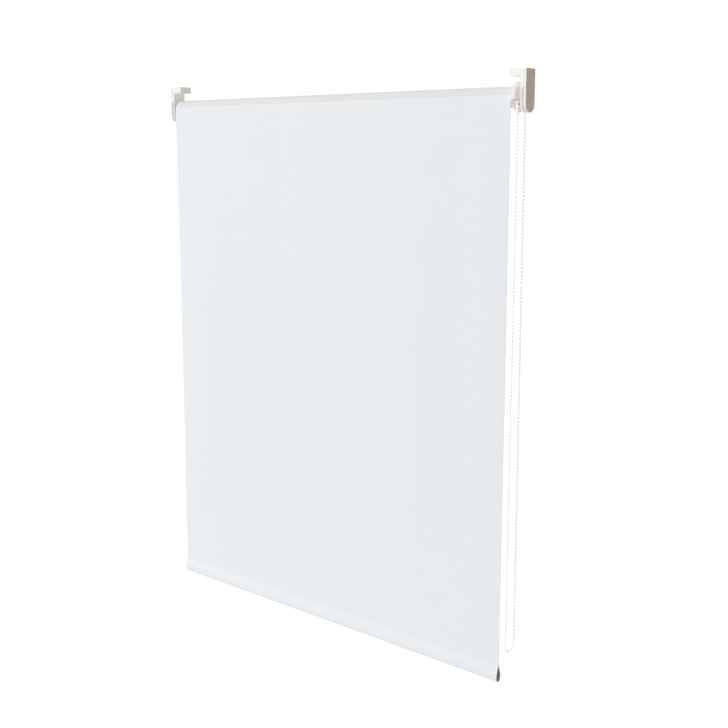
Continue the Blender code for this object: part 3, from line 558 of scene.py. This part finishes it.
# ---- Fabric -------------------------------------------------------------------------------------
ROLL_TURNS = 2.25
ROLL_STEPS_A_TURN = 64
ROLL_PITCH = 0.00062
ROLL_MIDDLE = -SHEET_Y                  # radius of the outermost turn where the fabric leaves it, in front
ROLL_STRAY = 0.00035                    # how far the turns' edges stray sideways
SHEET_LAP = math.radians(10)            # the sheet lies on the roll this far above the axis
LAP_PROUD = 0.00006                     # the lap's distance from the turn below it
WAVE_DEPTH = 0.0008
CURL_DEPTH = 0.0009
CURL_WIDTH = 0.011


def roll_shape():
    """Turns of fabric round the tube, whose edges don't lie quite flush with each other."""
    steps = round(ROLL_TURNS * ROLL_STEPS_A_TURN)
    columns = even(CLOTH_LEFT, CLOTH_RIGHT, 12)
    rows, ways = [], []
    for i in range(steps + 1):
        turned = i / ROLL_STEPS_A_TURN
        angle = math.pi - 2 * math.pi * turned
        radius = ROLL_MIDDLE - ROLL_PITCH * turned
        way = Vector((0.0, math.cos(angle), math.sin(angle)))
        stray = ROLL_STRAY * math.sin(2.4 * turned + 0.7) * min(1.0, turned)
        middle = Vector((0.0, 0.0, AXIS_Z)) + way * radius
        rows.append([middle + Vector((x + stray, 0.0, 0.0)) for x in columns])
        ways.append([way] * len(columns))
    return slab(rows, ways, CLOTH)


def hang_wave(x, share):
    """How far the hanging fabric stands out towards the room: soft upright waves and curled side edges."""
    swell = math.sin(math.pi * share) ** 0.8
    waves = (
        0.55 * math.sin(2 * math.pi * x / 0.41 + 0.9)
        + 0.30 * math.sin(2 * math.pi * x / 0.23 + 2.3)
        + 0.15 * math.sin(2 * math.pi * x / 0.13 + 4.0)
    )
    edge = min(x - CLOTH_LEFT, CLOTH_RIGHT - x)
    curl = math.exp(-edge / CURL_WIDTH) * math.sin(math.pi * min(1.0, 1.1 * share))
    return swell * waves * WAVE_DEPTH - curl * CURL_DEPTH


def sheet_shape():
    """The hanging fabric, from its lap on the roll down to the hem."""
    radius = ROLL_MIDDLE + LAP_PROUD
    columns = even(CLOTH_LEFT, CLOTH_RIGHT, 110)
    lap = [math.pi - angle for angle in even(SHEET_LAP, 0.0, 5)[:-1]]
    line = [(radius * math.cos(a), AXIS_Z + radius * math.sin(a), 0.0) for a in lap]
    drops = even(0.0, 1.0, 90)
    line += [(-radius + (radius + SHEET_Y) * t, AXIS_Z + (sheet_low.z - AXIS_Z) * t, t) for t in drops]
    facing = across([(y, z) for y, z, _ in line])
    rows = [[Vector((x, y - hang_wave(x, t), z)) for x in columns] for y, z, t in line]
    ways = [[Vector((0.0, y, z))] * len(columns) for y, z in facing]
    return slab(rows, ways, CLOTH)


HEM_SHUT = 0.0012                       # the hem's front and back meet this far below its top
WELD_GAP = 0.00004                      # between the sheet and the flap
WIDEST = 2 / (3 * math.sqrt(3))         # the largest value of share * sqrt(1 - share)


def hem_side(share):
    """Half the depth of the hem at a share of its height, from its point down."""
    return HEM_HALF_DEPTH * share * math.sqrt(max(0.0, 1 - share)) / WIDEST


def hem_shape():
    """The hem: down the front, round the bar and up the back to a flap that is welded to the sheet."""
    inner = 1 - CLOTH / 2 / HEM_HALF_DEPTH
    shares = [math.sin(math.pi / 2 * i / 26) for i in range(27)]
    front = [(SHEET_Y - inner * hem_side(s), HEM_TOP - (HEM_HEIGHT - CLOTH / 2) * s) for s in shares]
    back = [(2 * SHEET_Y - y, z) for y, z in reversed(front[:-1])]
    line = front + back[:-1]
    y_back = SHEET_Y + CLOTH + WELD_GAP
    line += [(y_back, HEM_TOP - HEM_SHUT), (y_back, HEM_TOP), (y_back, HEM_TOP + HEM_FLAP / 2)]
    line += [(y_back, HEM_TOP + HEM_FLAP)]
    facing = across(line)
    columns = even(CLOTH_LEFT, CLOTH_RIGHT, 40)
    rows = [[Vector((x, y, z)) for x in columns] for y, z in line]
    ways = [[Vector((0.0, y, z))] * len(columns) for y, z in facing]
    return slab(rows, ways, CLOTH)


fabric_roll = piece(
    "fabric_roll", roll_shape(), [rolled_cloth_painted_shade], "roller", ["wound_fabric"], 60.0
)
hem_pocket = piece("hem_pocket", hem_shape(), [hung_cloth], "bar", ["hem_sleeve"], 60.0)
hanging_fabric = piece(
    "hanging_fabric", sheet_shape(), [hung_cloth], "headrail", ["fabric_sheet"], 60.0
)
lift = next(joint for joint in frame["joints"] if joint["name"] == "bottom_bar_lift")["range_m"][1]
1 - lift / (AXIS_Z - sheet_low.z)
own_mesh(hanging_fabric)


# ---- Tape between the fabric and the tube ---------------------------------------------------------
TAPE_HALF_ANGLE = math.radians(18)
TAPE_THICKNESS = 0.00014
TAPE_RADIUS = TUBE_RADIUS + 0.00010 + TAPE_THICKNESS / 2


def tape_shape():
    columns = even(CLOTH_LEFT, CLOTH_RIGHT, 8)
    rows, ways = [], []
    for angle in even(math.pi / 2 - TAPE_HALF_ANGLE, math.pi / 2 + TAPE_HALF_ANGLE, 10):
        way = Vector((0.0, math.cos(angle), math.sin(angle)))
        rows.append([Vector((x, 0.0, AXIS_Z)) + way * TAPE_RADIUS for x in columns])
        ways.append([way] * len(columns))
    return slab(rows, ways, TAPE_THICKNESS)


piece("tape_strip", tape_shape(), [adhesive], "roller", ["fabric_tape"], 60.0)

# ---- End plugs of the bottom bar -----------------------------------------------------------------
PLUG_INSET = 0.0008
PLUG_CREST = 0.0007
PLUG_PLATE = 0.0015
PLUG_INSERT = 0.0080
PLUG_ROUNDING = 0.0003
PLUG_FIT = 0.0017                       # how much smaller the insert is than the plate
POINT_INSET = 2.2                       # an inset takes this much more off the drop's point than its sides


def drop_outline(inset, steps=22):
    """Teardrop outline of the bar's section, moved inwards, as (y, z) points."""
    half = HEM_HALF_DEPTH - inset
    height = HEM_HEIGHT - (1 + POINT_INSET) * inset
    top = HEM_TOP - POINT_INSET * inset
    side = []
    for i in range(1, steps):
        s = math.sin(math.pi / 2 * i / steps)
        side.append((half * s * math.sqrt(1 - s) / WIDEST, top - height * s))
    front = [(SHEET_Y - width, z) for width, z in side]
    back = [(SHEET_Y + width, z) for width, z in reversed(side)]
    return [(SHEET_Y, top), *front, (SHEET_Y, top - height), *back]


def plug_shape(end, outward):
    """A plate with a soft upright crest in its middle, and an insert that fits the bar's hollow."""
    outline = drop_outline(PLUG_INSET)
    insert = drop_outline(PLUG_INSET + PLUG_FIT)
    count = len(outline)
    rings = []
    for ring_outline, x in (
        (insert, end - outward * (PLUG_PLATE + PLUG_INSERT)),
        (insert, end - outward * PLUG_PLATE),
        (outline, end - outward * PLUG_PLATE),
        (outline, end - outward * PLUG_ROUNDING),
        (drop_outline(PLUG_INSET + PLUG_ROUNDING), end),
    ):
        rings.append([Vector((x, y, z)) for y, z in ring_outline])
    face = rings[-1]
    for k in range(1, 8):
        share = k / 8
        rise = PLUG_CREST * (1 - (1 - share) ** 1.6)
        x = end + outward * rise
        rings.append([Vector((x, SHEET_Y + (p.y - SHEET_Y) * (1 - share), p.z)) for p in face])
    shape = bmesh.new()
    grid = [[shape.verts.new(point) for point in ring] for ring in rings]
    for ring, following in zip(grid, grid[1:]):
        for k in range(count):
            n = (k + 1) % count
            shape.faces.new([ring[k], ring[n], following[n], following[k]])
    shape.faces.new(grid[0])
    last = grid[-1]
    half = count // 2
    crest = [shape.verts.new((end + outward * PLUG_CREST, SHEET_Y, face[k].z)) for k in range(half + 1)]
    front = last[: half + 1]
    behind = [last[0], *last[:half - 1:-1]]
    for run in (front, behind):
        for k in range(half):
            shape.faces.new([run[k], run[k + 1], crest[k + 1], crest[k]])
    bmesh.ops.remove_doubles(shape, verts=shape.verts, dist=1e-6)
    return shape


for side, end, outward in (("right", CLOTH_RIGHT, 1), ("left", CLOTH_LEFT, -1)):
    piece(
        f"bar_plug_{side}",
        plug_shape(end, outward),
        [grey_moulding],
        "bar",
        [f"bar_cap_{side}"],
        40.0,
    )

# ---- Brackets, covers and chain guard -------------------------------------------------------------
EDGE_RADIUS = 0.00032
COVER_EDGE_RADIUS = 0.0009


def on_outer_face(place):
    """Picks the edges that border a cover's outer face."""
    return lambda edge: all(abs(v.co.x - place) < 2e-5 for v in edge.verts)


for side, place in (("right", cad_box[1].x), ("left", cad_box[0].x)):
    eased(f"side_plate_{side}", f"bracket_{side}", thin_moulding_painted_glow, "headrail", EDGE_RADIUS)
    eased(
        f"side_cover_{side}",
        f"bracket_cover_{side}",
        white_moulding,
        "headrail",
        EDGE_RADIUS,
        broad=on_outer_face(place),
        broad_radius=COVER_EDGE_RADIUS,
    )
eased("wheel_hood", "chain_guard", thin_moulding_painted_glow, "headrail", EDGE_RADIUS)
eased("hood_plate", "guard_plate", thin_moulding_painted_glow, "headrail", EDGE_RADIUS)

# ---- Studio ---------------------------------------------------------------------------------------
FLOOR_Z = -2.4
FLOOR_HALF = 1.2

floor_shape = bmesh.new()
bmesh.ops.create_grid(floor_shape, x_segments=8, y_segments=8, size=FLOOR_HALF)
floor_mesh = bpy.data.meshes.new("studio_floor")
floor_shape.to_mesh(floor_mesh)
floor_shape.free()
floor = bpy.data.objects.new("studio_floor", floor_mesh)
floor.location = (0.0, 0.0, FLOOR_Z)
bpy.context.scene.collection.objects.link(floor)
FLOOR_GLOW = {"Roughness": 0.9, "Emission Color": (1.0, 1.0, 1.0), "Emission Strength": 0.40}
pale = Finish("pale_floor", FLOOR_GLOW)
cloud = pale.noise(pale.place, 2.0)
floor_mesh.materials.append(pale.feed({"Base Color": pale.mixed(cloud, (0.86, 0.86, 0.86), (0.9, 0.9, 0.9))}))

world = bpy.data.worlds.new("studio_light")
world.use_nodes = True
bpy.context.scene.world = world
sky = Board(world.node_tree)
way_x, way_y, way_z = sky.split(sky.direction("Generated"))
KEY_WAY = Vector((-0.36, -0.85, 0.45)).normalized()
KEY_GLOW = 0.76
FILL_WAY = Vector((-0.55, 0.80, 0.20)).normalized()
FILL_GLOW = 0.75


def towards(way):
    """1 straight towards a direction, falling to 0 at right angles to it."""
    along = way_x * way.x + way_y * way.y + way_z * way.z
    return sky.math("MAXIMUM", along, 0.0)


room_side = way_x.smooth_step(0.1, 0.75)
ambient = sky.mixed(room_side, (0.34, 0.34, 0.335), (0.245, 0.148, 0.080))
light = ambient
for way, glow in ((KEY_WAY, KEY_GLOW), (FILL_WAY, FILL_GLOW)):
    lobe = sky.joined(*[towards(way) * glow] * 3)
    light = sky.node("ShaderNodeVectorMath", {"operation": "ADD"}, {0: light, 1: lobe}).outputs[0]
background = world.node_tree.nodes["Background"]
seen = sky.node("ShaderNodeLightPath").outputs["Is Camera Ray"]
sky.fill(background, {"Color": sky.mixed(seen, light, (1.0, 1.0, 1.0))})

KEY_PLACE = Vector((-1.5, -4.3, 1.3))
KEY_AIM = Vector((0.0, 0.0, -0.45))
KEY_POWER = 70.0
KEY_SIZE = 2.4
key_light = bpy.data.lights.new("soft_key", "AREA")
key_light.shape = "DISK"
key_light.size = KEY_SIZE
key_light.energy = KEY_POWER
key = bpy.data.objects.new("soft_key", key_light)
key.location = KEY_PLACE
key.rotation_euler = (KEY_AIM - KEY_PLACE).to_track_quat("-Z", "Y").to_euler()
bpy.context.scene.collection.objects.link(key)

bpy.context.scene.view_settings.view_transform = "Standard"
